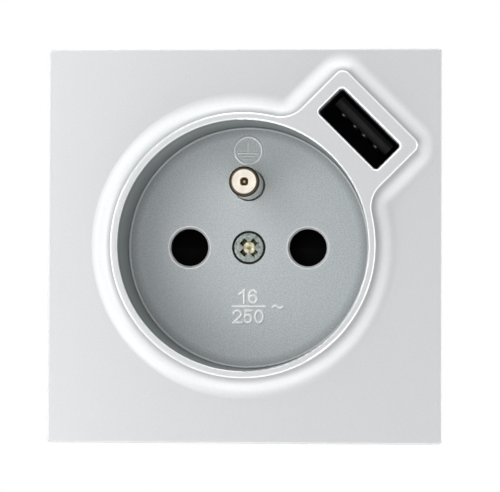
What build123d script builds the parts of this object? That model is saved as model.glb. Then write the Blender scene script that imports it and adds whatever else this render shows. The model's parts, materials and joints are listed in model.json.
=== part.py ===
from build123d import *
import math
import os

# Flush wall socket with an earth pin and a charging port, in millimetres.
# The origin is on the axis of the plug well, in the plane of the wall.
# X points right, Z up, and Y into the wall, so the front looks towards minus Y.

# Front cover
plate_size = 61.5
plate_corner = 0.7
plate_edge = 0.35
plate_thickness = 2.0
plate_projection = 7.8
skirt_wall = 1.8
skirt_depth = 4.4
collar_height = 3.7
collar_rim = 1.15
cove_radius = 3.3
collar_edge = 0.35
lip_edge = 0.3
well_diameter = 38.8
well_depth = 15.0
well_wall = 1.3
floor_thickness = 2.4
floor_corner = 0.4
rib_thickness = 1.0
rib_depth = 2.0
rib_angles = (135, 160, 200, 225, 315, 340)

# Plug interface
contact_spacing = 19.0
entry_diameter = 6.0
entry_chamfer = 0.3
earth_offset = 10.0
earth_diameter = 4.8
earth_reach = 11.4
earth_tip_round = 0.5
earth_dimple = 1.3
earth_dimple_depth = 0.6
earth_dimple_draft = 40.0
earth_neck_diameter = 4.0
earth_flange_diameter = 6.6
earth_flange_thickness = 1.2
earth_hole_gap = 0.18
pin_fit = 0.02

# Cover screw and its insert
screw_head_diameter = 4.9
screw_head_height = 1.45
screw_head_crown = 0.3
screw_diameter = 3.0
screw_length = 7.0
screw_recess_gap = 0.25
screw_recess_depth = 1.5
cross_reach = 3.1
cross_width = 1.1
cross_depth = 1.2
cross_draft = 11.3
insert_diameter = 5.4
insert_length = 6.5
boss_diameter = 8.0

# Charging port in the ear of the collar
window_height = 5.3
window_width = 12.75
window_edge = 0.5
window_corner = 0.5
ear_end_margin = 2.35
ear_side_margin = 2.2
ear_corner = 1.4
ear_neck = 4.6
ear_wall = 1.4
ear_face_thickness = 2.0
port_opening_height = 5.12
port_opening_width = 12.5
port_shell_wall = 0.3
port_shell_corner = 0.6
port_length = 14.0
port_mouth_gap = 0.1
port_leg_width = 2.0
port_leg_reach = 0.6
tongue_thickness = 1.84
tongue_width = 11.1
tongue_length = 8.8
tongue_offset = 0.1
tongue_step = 1.2
port_back_length = 4.2
port_fit = 0.05
port_pin_pitches = (-3.5, -1.0, 1.0, 3.5)
port_pin_width = 1.0
port_pin_thickness = 0.25
port_pin_tip = 0.4
board_thickness = 1.2
riser_gap = 0.6
riser_width = 13.2
riser_setback = 1.4
cradle_wall = 1.2
cradle_gap = 0.2
cradle_setback = 1.5

# Mounting strap
strap_thickness = 1.0
strap_reveal = 0.25
strap_slot_reach = 0.1
strap_corner = 3.0
strap_gap = 0.5
box_screw_spacing = 60.0
box_screw_slot = 3.8
strap_screw_diameter = 2.5
strap_screw_head = 4.2
strap_screw_head_height = 1.5
strap_screw_pitch = 11.0
strap_screw_edge = 1.9

# Socket base
base_rim = 1.8
base_depth = 15.5
tower_width = 18.0
tower_skirt_gap = 0.55
tower_foot = 3.6
tower_ear_thickness = 2.0
terminal_lobe_width = 31.0
terminal_lobe_drop = 23.5
terminal_lobe_front = 4.5
base_corner = 1.6
web_thickness = 1.5
chamber_gap = 0.4
entry_web_gap = 0.2

# Shutter and its spring
shutter_thickness = 2.8
shutter_gap = 0.3
shutter_cover = 1.2
shutter_travel = 7.3
shutter_bridge = 2.7
shutter_side_gap = 0.35
shutter_top_lip = 0.4
spring_diameter = 2.8
spring_wire = 0.4
spring_turns = 8
spring_pocket_gap = 0.25
spring_seat_radius = 19.6

# Contacts and terminals
contact_wall = 0.6
contact_slit = 1.6
contact_length = 8.7
contact_grip = 0.05
strip_thickness = 0.8
strip_width = 3.8
terminal_width = 7.0
terminal_height = 9.0
terminal_depth = 6.4
terminal_top = 12.0
wire_diameter = 3.2
wire_drop = 2.4
wire_funnel = 0.5
terminal_gap = 0.3
terminal_screw_diameter = 3.5
terminal_screw_head = 5.0
terminal_screw_head_height = 1.8
terminal_edge = 0.5
terminal_slot_width = 0.8
terminal_slot_depth = 0.8
tab_width = 2.4
chamber_margin = 0.8

# Charger behind the base
retainer_thickness = 1.2
standoff_height = 3.0
standoff_diameter = 5.4
housing_wall = 1.5
housing_depth = 16.0
housing_floor_z = -8.5
housing_edge = 1.2
housing_screw_diameter = 2.5
housing_screw_head = 4.4
housing_screw_head_height = 1.5
housing_screw_bite = 8.0
housing_screw_x = 15.5
housing_screw_z = 6.0
housing_vent_count = 5
housing_vent_width = 1.2
housing_vent_length = 9.0
housing_vent_pitch = 3.0
board_fit = 0.4
thread_fit = 0.05

# Charger components, each with its width, height and standing depth
core_size = (12.5, 13.0, 8.6)
core_leg = 3.2
core_yoke = 1.9
winding_overhang = 1.6
winding_gap = 0.2
input_capacitor_diameter = 7.6
input_capacitor_length = 9.0
output_capacitor_diameter = 6.2
output_capacitor_length = 8.4
rectifier_size = (6.4, 5.0, 2.4)
controller_size = (5.0, 4.0, 1.6)
suppressor_size = (10.0, 4.2, 7.6)
fuse_diameter = 3.2
fuse_length = 7.5
component_edge = 0.5

# Places of the charger components on their board
core_place = (0.0, 4.0)
input_capacitor_place = (-13.5, -1.5)
output_capacitor_place = (13.0, -2.0)
suppressor_place = (-5.5, 14.2)
rectifier_place = (6.0, 14.3)
controller_place = (12.5, 12.0)
fuse_place = (-13.2, 11.5)

# Planes across the depth, from the front to the back
plate_front = -plate_projection
plate_back = plate_front + plate_thickness
skirt_back = plate_front + skirt_depth
lip = plate_front - collar_height
floor_front = lip + well_depth
floor_back = floor_front + floor_thickness
recess_back = floor_back + shutter_thickness + 2 * shutter_gap
chamber_front = recess_back + web_thickness
base_back = floor_back + base_depth
retainer_back = base_back + retainer_thickness
charger_front = retainer_back + standoff_height
charger_back = charger_front + board_thickness
housing_back = retainer_back + housing_depth
strap_front = -strap_thickness
tower_front = strap_front - tower_ear_thickness

# Radii and heights that follow from the sizes above
well_radius = well_diameter / 2
collar_radius = well_radius + collar_rim
tube_radius = well_radius + well_wall
base_radius = tube_radius + base_rim
contact_x = contact_spacing / 2
port_shell_height = port_opening_height + 2 * port_shell_wall
port_shell_width = port_opening_width + 2 * port_shell_wall
riser_bottom = tube_radius + riser_gap
riser_top = riser_bottom + board_thickness
port_center = riser_top + port_shell_height / 2
port_front = lip + ear_face_thickness + port_mouth_gap
port_back = port_front + port_length
port_pin_front = port_back - port_back_length - tongue_length + tongue_step
ear_end = port_center + window_height / 2 + ear_end_margin
ear_half_width = window_width / 2 + ear_side_margin
riser_front = port_front + riser_setback
riser_notch = tube_radius + riser_gap / 2
riser_notch_width = riser_width + 2 * board_fit
cradle_inner_end = port_center + port_shell_height / 2 + cradle_gap
cradle_end = cradle_inner_end + cradle_wall
cradle_width = riser_notch_width + 2 * cradle_wall
cradle_front = plate_back + cradle_setback
lobe_front = floor_back + terminal_lobe_front
tower_inner = tube_radius + strap_gap
tower_ear_end = plate_size / 2 - skirt_wall - tower_skirt_gap
tower_outer = tower_ear_end - tower_foot
strap_screw_height = tower_ear_end - strap_screw_edge
strap_width = box_screw_spacing + 2 * strap_slot_reach
strap_height = plate_size - 2 * strap_reveal
wing_half_height = entry_diameter / 2 + shutter_cover
wing_inner = boss_diameter / 2 + shutter_side_gap
wing_outer = contact_x + entry_diameter / 2 + shutter_cover
bridge_top = -boss_diameter / 2 - 2 * shutter_side_gap
bridge_bottom = bridge_top - shutter_bridge
strip_front = chamber_front + terminal_depth
strip_back = strip_front + strip_thickness
terminal_bottom = -terminal_top - terminal_height
wire_height = -terminal_top - wire_drop
contact_inner = earth_diameter / 2 - contact_grip
contact_outer = contact_inner + contact_wall
housing_radius = base_radius
housing_bump_end = riser_top + board_fit + housing_wall
housing_bump_width = riser_notch_width + 2 * housing_wall

ear_plane = Plane(origin=(0, 0, 0), x_dir=(1, 0, 1), z_dir=(0, -1, 0))


def slab(profile, front, back):
    """Extrude a profile drawn in X and Z through the depth, from front to back."""
    return extrude(Plane.XZ.offset(-back) * profile, amount=back - front)


def ear_slab(profile, front, back):
    """Extrude a profile drawn along and across the diagonal of the ear."""
    return extrude(ear_plane.offset(-back) * profile, amount=back - front)


def rod(diameter, x, z, front, back):
    """Round bar through the depth."""
    return slab(Pos(x, z) * Circle(diameter / 2), front, back)


def block(x_low, x_high, z_low, z_high, front, back):
    """Rectangular bar through the depth, given by its limits."""
    profile = Rectangle(x_high - x_low, z_high - z_low)
    return slab(Pos((x_low + x_high) / 2, (z_low + z_high) / 2) * profile, front, back)


def riser_bar(end, width, front, back):
    """Bar over the riser board, from the well outwards to the given end."""
    length = end - riser_notch
    return ear_slab(Pos(riser_notch + length / 2, 0) * Rectangle(length, width), front, back)


def edges_at(shape, depth, slack=0.001):
    """Edges that lie in one plane across the depth."""
    return shape.edges().filter_by_position(Axis.Y, depth - slack, depth + slack)


def edges_inside(edges, limit):
    """Edges whose extent stays within a square of the given half size."""
    kept = ShapeList()
    for edge in edges:
        box = edge.bounding_box()
        if max(-box.min.X, box.max.X, -box.min.Z, box.max.Z) < limit:
            kept.append(edge)
    return kept


def round_edges(edges, radius, slack=0.01):
    """Circular edges of one radius."""
    return ShapeList([e for e in edges.filter_by(GeomType.CIRCLE) if abs(e.radius - radius) < slack])


# Front cover
def collar_outline(slack=0.01):
    """Ring and ear in one outline, with soft necks between them."""
    ring = Circle(collar_radius)
    ear = Pos(ear_end / 2, 0) * Rectangle(ear_end, 2 * ear_half_width)
    ear = fillet(ear.vertices().group_by(Axis.X)[-1], ear_corner)
    outline = ring + ear
    necks = [v for v in outline.vertices() if abs(math.hypot(v.X, v.Y) - collar_radius) < slack]
    return fillet(necks, ear_neck)


def make_front_cover():
    """Plate, coved collar with the ear, plug well and short skirt, moulded as one piece."""
    half = plate_size / 2
    plate = RectangleRounded(plate_size, plate_size, plate_corner)
    cover = slab(plate, plate_front, skirt_back)
    cover = fillet(edges_at(cover, plate_front), plate_edge)
    cover += ear_slab(collar_outline(), lip, plate_front)
    cover = fillet(edges_inside(edges_at(cover, plate_front), half - 2 * plate_edge), cove_radius)
    cover = fillet(edges_at(cover, lip), collar_edge)

    inner_size = plate_size - 2 * skirt_wall
    cavity = slab(RectangleRounded(inner_size, inner_size, plate_corner), plate_back, skirt_back)
    cover -= cavity
    pocket_width = 2 * (ear_half_width - ear_wall)
    cover -= riser_bar(ear_end - ear_wall, pocket_width, lip + ear_face_thickness, plate_back)
    cover += rod(2 * tube_radius, 0, 0, plate_back, floor_back)
    cover += cover_ribs(inner_size)

    well = rod(well_diameter, 0, 0, lip, floor_front)
    well = fillet(edges_at(well, floor_front), floor_corner)
    cover -= well
    cover = fillet(round_edges(edges_at(cover, lip), well_radius), lip_edge)
    cover = cut_window(cover)
    return cut_floor(cover)


def cover_ribs(inner_size):
    """Stiffening ribs under the plate, between the well and the skirt."""
    length = inner_size / math.sqrt(2)
    rib = slab(Pos(length / 2, 0) * Rectangle(length, rib_thickness), plate_back, plate_back + rib_depth)
    ribs = Part() + [Rot(0, -angle, 0) * rib for angle in rib_angles]
    inside = slab(Rectangle(inner_size, inner_size), plate_back, plate_back + rib_depth)
    return ribs & inside


def cut_window(cover):
    """Window of the charging port, with its rounded front edge."""
    window = Pos(port_center, 0) * RectangleRounded(window_height, window_width, window_corner)
    cover -= ear_slab(window, lip, lip + ear_face_thickness)
    rim = ShapeList()
    for edge in edges_at(cover, lip):
        place = ear_plane.to_local_coords(edge.center())
        if abs(place.X - port_center) <= window_height / 2 and abs(place.Y) <= window_width / 2:
            rim.append(edge)
    return fillet(rim, window_edge)


def cut_floor(cover):
    """Entries for the plug pins, hole for the earth pin and recess for the screw."""
    for x in (-contact_x, contact_x):
        entry = rod(entry_diameter, x, 0, floor_front, floor_back)
        mouth = Pos(x, floor_front + entry_chamfer / 2, 0) * Rot(90, 0, 0)
        flare = Cone(entry_diameter / 2, entry_diameter / 2 + entry_chamfer, entry_chamfer)
        cover -= entry + mouth * flare
    cover -= rod(earth_diameter + 2 * earth_hole_gap, 0, earth_offset, floor_front, floor_back)
    recess = screw_head_diameter + 2 * screw_recess_gap
    cover -= rod(recess, 0, 0, floor_front, floor_front + screw_recess_depth)
    cover -= rod(screw_diameter + 2 * screw_recess_gap, 0, 0, floor_front, floor_back)
    return cover


# Cover screw, its insert and the earth pin
def cross_recess(face, depth):
    """Tapered cross sunk from a plane towards the back, or towards the front for a negative depth."""
    arm = Rectangle(cross_reach, cross_width)
    cross = Rot(0, 0, 45) * (arm + Rot(0, 0, 90) * arm)
    return extrude(Plane.XZ.offset(-face) * cross, amount=-depth, taper=cross_draft)


def make_cover_screw():
    """Flat crowned head with a cross recess, turned by an eighth of a turn."""
    top = floor_front + screw_recess_depth - screw_head_height
    seat = floor_front + screw_recess_depth
    head = rod(screw_head_diameter, 0, 0, top, seat)
    head = fillet(edges_at(head, top), screw_head_crown)
    shank = rod(screw_diameter, 0, 0, seat, seat + screw_length)
    return head + shank - cross_recess(top, cross_depth)


def make_screw_insert():
    """Threaded bush pressed into the boss of the base."""
    front = floor_back + shutter_gap
    bush = rod(insert_diameter, 0, 0, front, front + insert_length)
    return bush - rod(screw_diameter + 2 * thread_fit, 0, 0, front, front + insert_length)


def make_earth_pin():
    """Turned pin with a rounded tip, a punched centre mark, a seating flange and a riveted tail."""
    tip = floor_front - earth_reach
    pin = rod(earth_diameter, 0, earth_offset, tip, floor_front)
    pin = fillet(edges_at(pin, tip), earth_tip_round)
    pin += rod(earth_neck_diameter, 0, earth_offset, floor_front, strip_front)
    mark = Pos(0, earth_offset) * RectangleRounded(earth_dimple, earth_dimple, earth_dimple / 4)
    pin -= extrude(Plane.XZ.offset(-tip) * mark, amount=-earth_dimple_depth, taper=earth_dimple_draft)
    flange_front = strip_front - earth_flange_thickness
    pin += rod(earth_flange_diameter, 0, earth_offset, flange_front, strip_front)
    return pin + rod(strip_width / 2, 0, earth_offset, strip_front, strip_back + strip_thickness)


# Mounting strap and its screws
def strap_screw_places():
    """Centres of the strap screws, two on each tower."""
    half = strap_screw_pitch / 2
    return [(x, z) for z in (-strap_screw_height, strap_screw_height) for x in (-half, half)]


def make_mounting_strap():
    """Pressed frame with open slots for the box screws at its sides and a corner left open for the port."""
    frame = RectangleRounded(strap_width, strap_height, strap_corner)
    frame -= Circle(tube_radius + strap_gap)
    frame -= Rectangle(tower_width + 2 * strap_gap, 2 * (tower_outer + strap_gap))
    diagonal = math.hypot(strap_width, strap_height) / 2
    port_cut = Pos(diagonal / 2, 0) * Rectangle(diagonal, cradle_width + 2 * strap_gap)
    frame -= Rot(0, 0, 45) * port_cut
    for side in (-1, 1):
        slot_end = side * (box_screw_spacing / 2)
        frame -= Pos(slot_end, 0) * Circle(box_screw_slot / 2)
        frame -= Pos(slot_end + side * box_screw_slot / 2, 0) * Rectangle(box_screw_slot, box_screw_slot)
    for x, z in strap_screw_places():
        frame -= Pos(x, z) * Circle(strap_screw_diameter / 2 + thread_fit)
    return slab(frame, strap_front, 0)


def make_strap_screws():
    """Short screws that clamp the ears of the base to the strap."""
    screws = Part()
    for x, z in strap_screw_places():
        head = rod(strap_screw_head, x, z, tower_front - strap_screw_head_height, tower_front)
        head = fillet(edges_at(head, tower_front - strap_screw_head_height), screw_head_crown)
        screws += head + rod(strap_screw_diameter, x, z, tower_front, -thread_fit)
    return screws


# Socket base
def base_outline():
    """Round body and the rectangular lobe below it that holds the terminals."""
    lobe_half = terminal_lobe_width / 2
    lobe = block_profile(-lobe_half, lobe_half, -terminal_lobe_drop, 0)
    lobe = fillet(lobe.vertices().group_by(Axis.Y)[0], base_corner)
    return Circle(base_radius), lobe


def block_profile(x_low, x_high, z_low, z_high):
    """Rectangle in X and Z given by its limits."""
    return Pos((x_low + x_high) / 2, (z_low + z_high) / 2) * Rectangle(x_high - x_low, z_high - z_low)


def port_cradle(front, back):
    """Outer form of the cradle around the port, with rounded outer corners."""
    cradle = riser_bar(cradle_end, cradle_width, front, back)
    far = ShapeList()
    for edge in cradle.edges().filter_by(Axis.Y):
        if ear_plane.to_local_coords(edge.center()).X > port_center:
            far.append(edge)
    return fillet(far, base_corner)


def make_socket_base():
    """Moulded body with towers for the strap, port cradle, shutter recess, chambers and terminals."""
    body, lobe = base_outline()
    base = slab(body, floor_back, base_back) + slab(lobe, lobe_front, base_back)
    base += port_cradle(cradle_front, base_back)
    half = tower_width / 2
    for side in (-1, 1):
        low, high = sorted((side * tower_inner, side * tower_outer))
        base += block(-half, half, low, high, tower_front, lobe_front)
        low, high = sorted((side * tower_inner, side * tower_ear_end))
        ear = block_profile(-half, half, low, high)
        ear = fillet(ear.vertices(), base_corner)
        base += slab(ear, tower_front, strap_front)
    base -= riser_bar(cradle_inner_end, riser_notch_width, cradle_front, base_back)
    for x, z in strap_screw_places():
        base -= rod(strap_screw_diameter + 4 * thread_fit, x, z, tower_front, strap_front)
    base -= shutter_recess()
    base -= contact_cavities()
    base -= terminal_cavities()
    base -= rod(insert_diameter + 2 * pin_fit, 0, 0, floor_back, floor_back + shutter_gap + insert_length)
    screw_end = floor_front + screw_recess_depth + screw_length + shutter_gap
    base -= rod(screw_diameter + 4 * thread_fit, 0, 0, floor_back, screw_end)
    base -= rod(earth_neck_diameter + 2 * pin_fit, 0, earth_offset, floor_back, base_back)
    hole = housing_screw_diameter + 2 * thread_fit
    for x, z in housing_screw_places():
        base -= rod(hole, x, z, base_back - housing_screw_bite - shutter_gap, base_back)
    return base


def shutter_recess():
    """Shallow recess for the shutter and its spring, with the boss left standing."""
    side = wing_outer + shutter_side_gap
    bottom = bridge_bottom - shutter_travel - shutter_gap
    recess = block(-side, side, bottom, wing_half_height + shutter_side_gap, floor_back, recess_back)
    recess -= rod(boss_diameter, 0, 0, floor_back, recess_back)
    spring_side = spring_diameter / 2 + spring_wire / 2 + spring_pocket_gap
    recess += block(-spring_side, spring_side, -spring_seat_radius, bottom, floor_back, recess_back)
    for x in (-contact_x, contact_x):
        recess += rod(entry_diameter + 2 * entry_web_gap, x, 0, recess_back, chamber_front)
    return recess


def contact_cavities():
    """Chambers behind the entries, channels for the strips and the seat of the earth pin."""
    half = contact_outer + chamber_gap + chamber_margin
    cavities = Part()
    for x in (-contact_x, contact_x):
        cavities += block(x - half, x + half, -half, half, chamber_front, base_back)
        strip = strip_width / 2 + terminal_gap
        cavities += block(x - strip, x + strip, -terminal_top, 0, strip_front - terminal_gap, base_back)
    strip = strip_width / 2 + terminal_gap
    top = earth_offset + strip_width / 2 + terminal_gap
    cavities += block(-strip, strip, -terminal_top, top, strip_front, base_back)
    flange = earth_flange_diameter + 2 * pin_fit
    return cavities + rod(flange, 0, earth_offset, strip_front - earth_flange_thickness, base_back)


def terminal_cavities():
    """Pockets for the terminals, each with a screw hole in the bottom."""
    half = terminal_width / 2 + terminal_gap
    top = -terminal_top + terminal_gap
    hole_diameter = terminal_screw_head + 2 * terminal_gap
    cavities = Part()
    for x in (-contact_x, 0, contact_x):
        cavities += block(x - half, x + half, terminal_bottom, top, chamber_front, base_back)
        cavities += upright_rod(hole_diameter, x, -terminal_lobe_drop, terminal_bottom)
    return cavities


def upright_rod(diameter, x, bottom, top):
    """Round bar along Z at the depth of the terminal screws."""
    center = chamber_front + terminal_depth / 2
    return extrude(Pos(x, center, bottom) * Circle(diameter / 2), amount=top - bottom)


# Shutter and its spring
def make_shutter():
    """Sliding plate with two ramped wings that close the entries from behind."""
    front = floor_back + shutter_gap
    back = front + shutter_thickness
    with BuildSketch(Plane.YZ) as ramp:
        with BuildLine():
            Polyline(
                (front, bridge_bottom),
                (front, 0),
                (back - shutter_top_lip, wing_half_height),
                (back, wing_half_height),
                (back, bridge_bottom),
                close=True,
            )
        make_face()
    wing = extrude(ramp.sketch, amount=wing_outer - wing_inner)
    shutter = Pos(wing_inner, 0, 0) * wing + Pos(-wing_outer, 0, 0) * wing
    return shutter + block(-wing_inner, wing_inner, bridge_bottom, bridge_top, front, back)


def make_shutter_spring():
    """Compression spring under the bridge of the shutter."""
    length = spring_seat_radius + bridge_bottom - spring_wire
    path = Helix(pitch=length / spring_turns, height=length, radius=spring_diameter / 2)
    section = Plane(origin=path @ 0, z_dir=path % 0) * Circle(spring_wire / 2)
    coil = sweep(section, path=path, is_frenet=True)
    depth = (floor_back + recess_back) / 2
    return Pos(0, depth, -spring_seat_radius + spring_wire / 2) * coil


# Contacts, earth bar and terminals
def wire_strip(x, top):
    """Flat strip down the back of a terminal, pierced for the wire."""
    half = strip_width / 2
    strip = block(x - half, x + half, terminal_bottom + terminal_gap, top, strip_front, strip_back)
    return strip - rod(wire_diameter, x, wire_height, strip_front, strip_back)


def make_contact(x):
    """Slit spring sleeve with a strip to its terminal and a tab to the charger board."""
    sleeve = rod(2 * contact_outer, x, 0, chamber_front + chamber_gap, chamber_front + contact_length)
    tab = block(x - tab_width / 2, x + tab_width / 2, contact_outer - contact_wall, contact_outer,
                strip_front, charger_back)
    contact = sleeve + wire_strip(x, 0)
    contact -= rod(2 * contact_inner, x, 0, chamber_front, base_back)
    slit = block(x - contact_slit / 2, x + contact_slit / 2, 0, contact_outer, chamber_front, strip_front)
    return contact - slit + tab


def make_earth_bar():
    """Flat bar from the tail of the earth pin down to the earth terminal."""
    bar = wire_strip(0, earth_offset)
    bar += rod(strip_width, 0, earth_offset, strip_front, strip_back)
    return bar - rod(strip_width / 2 + 2 * pin_fit, 0, earth_offset, strip_front, strip_back)


def make_terminal(x):
    """Pillar terminal with a cross hole for the wire and a threaded hole for its screw."""
    half = terminal_width / 2
    front = chamber_front + terminal_gap
    body = block(x - half, x + half, terminal_bottom, -terminal_top, front, strip_front)
    body = chamfer(body.edges().filter_by(Axis.Y), terminal_edge)
    body -= rod(wire_diameter, x, wire_height, front, strip_front)
    return body - upright_rod(terminal_screw_diameter + 2 * thread_fit, x, terminal_bottom, wire_height)


def make_terminal_screws():
    """Slotted screws that clamp the wires from below."""
    head_bottom = terminal_bottom - terminal_screw_head_height
    slot_half = terminal_slot_width / 2
    slot_top = head_bottom + terminal_slot_depth
    center = chamber_front + terminal_depth / 2
    screws = Part()
    for x in (-contact_x, 0, contact_x):
        screw = upright_rod(terminal_screw_head, x, head_bottom, terminal_bottom)
        screw += upright_rod(terminal_screw_diameter, x, terminal_bottom, wire_height - wire_diameter / 2)
        low = x - terminal_screw_head / 2
        high = x + terminal_screw_head / 2
        screws += screw - block(low, high, head_bottom, slot_top, center - slot_half, center + slot_half)
    return screws


# Charging port
def port_box(height, width, corner, front, back):
    """Rounded bar along the port, centred on it."""
    return ear_slab(Pos(port_center, 0) * RectangleRounded(height, width, corner), front, back)


def port_legs(width, fit):
    """Two legs of the shell that pass through the edges of the riser board."""
    center = (port_front + port_back) / 2
    top = port_center - port_shell_height / 2 + port_shell_corner
    length = top - riser_bottom + port_leg_reach
    legs = Part()
    for side in (-1, 1):
        inner = port_shell_width / 2 - port_shell_wall / 2
        profile = Pos(top - length / 2, side * inner) * Rectangle(length, port_shell_wall + 2 * fit)
        legs += ear_slab(profile, center - width / 2 - fit, center + width / 2 + fit)
    return legs


def make_usb_shell():
    """Folded metal shell, open at the front, with two legs through the riser board."""
    inner_corner = port_shell_corner - port_shell_wall
    shell = port_box(port_shell_height, port_shell_width, port_shell_corner, port_front, port_back)
    shell -= port_box(port_opening_height, port_opening_width, inner_corner, port_front, port_back)
    return shell + port_legs(port_leg_width, 0)


def make_usb_insulator():
    """Block at the back of the port with the tongue that carries the contacts."""
    corner = port_shell_corner - port_shell_wall
    height = port_opening_height - 2 * port_fit
    width = port_opening_width - 2 * port_fit
    back_front = port_back - port_back_length
    insulator = port_box(height, width, corner, back_front, port_back)
    tongue = Pos(port_center + tongue_offset + tongue_thickness / 2, 0)
    tongue *= Rectangle(tongue_thickness, tongue_width)
    insulator += ear_slab(tongue, back_front - tongue_length, back_front)
    for pitch in port_pin_pitches:
        insulator -= port_pin(pitch, port_pin_width + 2 * port_fit, port_back)
    return insulator


def port_pin(pitch, width, back):
    """Strip under the tongue at one pitch, running back through the insulator."""
    top = port_center + tongue_offset
    profile = Pos(top - port_pin_thickness / 2, pitch) * Rectangle(port_pin_thickness, width)
    return ear_slab(profile, port_pin_front, back)


def make_usb_contacts():
    """Four strips under the tongue with tapered tips, turned down to the riser board behind the port."""
    contacts = Part()
    for pitch in port_pin_pitches:
        strip = port_pin(pitch, port_pin_width, port_back + port_pin_thickness)
        corners = edges_at(strip, port_pin_front).filter_by(Axis(ear_plane.origin, ear_plane.x_dir))
        strip = chamfer(corners, (port_pin_width - port_pin_tip) / 2)
        top = port_center + tongue_offset
        leg = Pos((riser_top + top) / 2, pitch) * Rectangle(top - riser_top, port_pin_width)
        contacts += strip + ear_slab(leg, port_back, port_back + port_pin_thickness)
    return contacts


def make_usb_board():
    """Riser board that carries the port and runs back to the charger board."""
    profile = Pos((riser_bottom + riser_top) / 2, 0) * Rectangle(board_thickness, riser_width)
    return ear_slab(profile, riser_front, charger_front) - port_legs(port_leg_width, port_fit)


# Charger behind the base
def housing_outline(inset):
    """Round outline with a flat bottom and a bump over the riser board."""
    radius = housing_radius - inset
    outline = Circle(radius) & block_profile(-radius, radius, housing_floor_z + inset, radius)
    end = housing_bump_end - inset
    bump = Pos(end / 2, 0) * Rectangle(end, housing_bump_width - 2 * inset)
    return outline + Rot(0, 0, 45) * bump


def housing_screw_places():
    """Centres of the two long screws through the charger."""
    return [(-housing_screw_x, housing_screw_z), (housing_screw_x, housing_screw_z)]


def make_contact_retainer():
    """Insulating plate behind the contacts, with standoffs for the charger board."""
    body, lobe = base_outline()
    plate = slab(body + lobe, base_back, retainer_back)
    plate += port_cradle(base_back, retainer_back)
    hole = housing_screw_diameter + 4 * thread_fit
    for x, z in housing_screw_places():
        plate += rod(standoff_diameter, x, z, retainer_back, charger_front)
        plate -= rod(hole, x, z, base_back, charger_front)
    for x in (-contact_x, 0, contact_x):
        plate -= rod(wire_diameter + 2 * wire_funnel, x, wire_height, base_back, retainer_back)
    reach = tab_width / 2 + terminal_gap
    low = contact_outer - contact_wall - terminal_gap
    for x in (-contact_x, contact_x):
        plate -= block(x - reach, x + reach, low, contact_outer + terminal_gap, base_back, retainer_back)
    return plate - riser_bar(riser_top + board_fit, riser_notch_width, base_back, retainer_back)


def make_rear_housing():
    """Closed cup over the charger, with screw bosses, rounded rim and vents."""
    cup = slab(housing_outline(0), retainer_back, housing_back)
    cup = fillet(edges_at(cup, housing_back), housing_edge)
    cup -= slab(housing_outline(housing_wall), retainer_back, housing_back - housing_wall)
    head_seat = housing_back - housing_screw_head_height
    for x, z in housing_screw_places():
        cup += rod(standoff_diameter, x, z, charger_back, housing_back - housing_wall / 2)
        cup -= rod(housing_screw_diameter + 4 * thread_fit, x, z, charger_back, housing_back)
        cup -= rod(housing_screw_head + 4 * thread_fit, x, z, head_seat, housing_back)
    vent = Rot(0, 0, 90) * SlotOverall(housing_vent_length, housing_vent_width)
    for index in range(housing_vent_count):
        x = (index - (housing_vent_count - 1) / 2) * housing_vent_pitch
        cup -= slab(Pos(x, housing_radius / 2) * vent, housing_back - housing_wall, housing_back)
    return cup


def make_housing_screws():
    """Long screws that hold the housing and the charger board to the base."""
    head_seat = housing_back - housing_screw_head_height
    screws = Part()
    for x, z in housing_screw_places():
        head = rod(housing_screw_head, x, z, head_seat, housing_back)
        head -= Pos(x, 0, z) * cross_recess(housing_back, -cross_depth)
        screws += head + rod(housing_screw_diameter, x, z, base_back - housing_screw_bite, head_seat)
    return screws


def make_charger_board():
    """Circuit board of the charger, cut to the inside of the housing."""
    board = slab(housing_outline(housing_wall + board_fit), charger_front, charger_back)
    for x, z in housing_screw_places():
        board -= rod(housing_screw_diameter + 4 * thread_fit, x, z, charger_front, charger_back)
    for x in (-contact_x, contact_x):
        reach = tab_width / 2 + pin_fit
        low = contact_outer - contact_wall - pin_fit
        board -= block(x - reach, x + reach, low, contact_outer + pin_fit, charger_front, charger_back)
    return board


def chip(size, x, z):
    """Moulded component standing on the charger board, with broken edges."""
    width, height, depth = size
    body = slab(Pos(x, z) * Rectangle(width, height), charger_back, charger_back + depth)
    return chamfer(body.edges().filter_by(Axis.Y), component_edge)


def can(diameter, length, x, z):
    """Round component standing on the charger board, with a rounded end."""
    body = rod(diameter, x, z, charger_back, charger_back + length)
    return fillet(edges_at(body, charger_back + length), component_edge)


def make_transformer_core():
    """Ferrite ring that stands on the board around the winding."""
    width, height, depth = core_size
    x, z = core_place
    core = slab(Pos(x, z) * Rectangle(width, height), charger_back, charger_back + depth)
    return core - winding_bar(width / 2, 0)


def winding_bar(reach, gap):
    """Bar through the window of the transformer core."""
    width, height, depth = core_size
    x, z = core_place
    half = height / 2 - core_leg - gap
    front = charger_back + core_yoke + gap
    back = charger_back + depth - core_yoke - gap
    return block(x - reach, x + reach, z - half, z + half, front, back)


def make_transformer_winding():
    """Taped winding in the core, standing out at both sides."""
    winding = winding_bar(core_size[0] / 2 + winding_overhang, winding_gap)
    return fillet(winding.edges().filter_by(Axis.X), component_edge)


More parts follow.
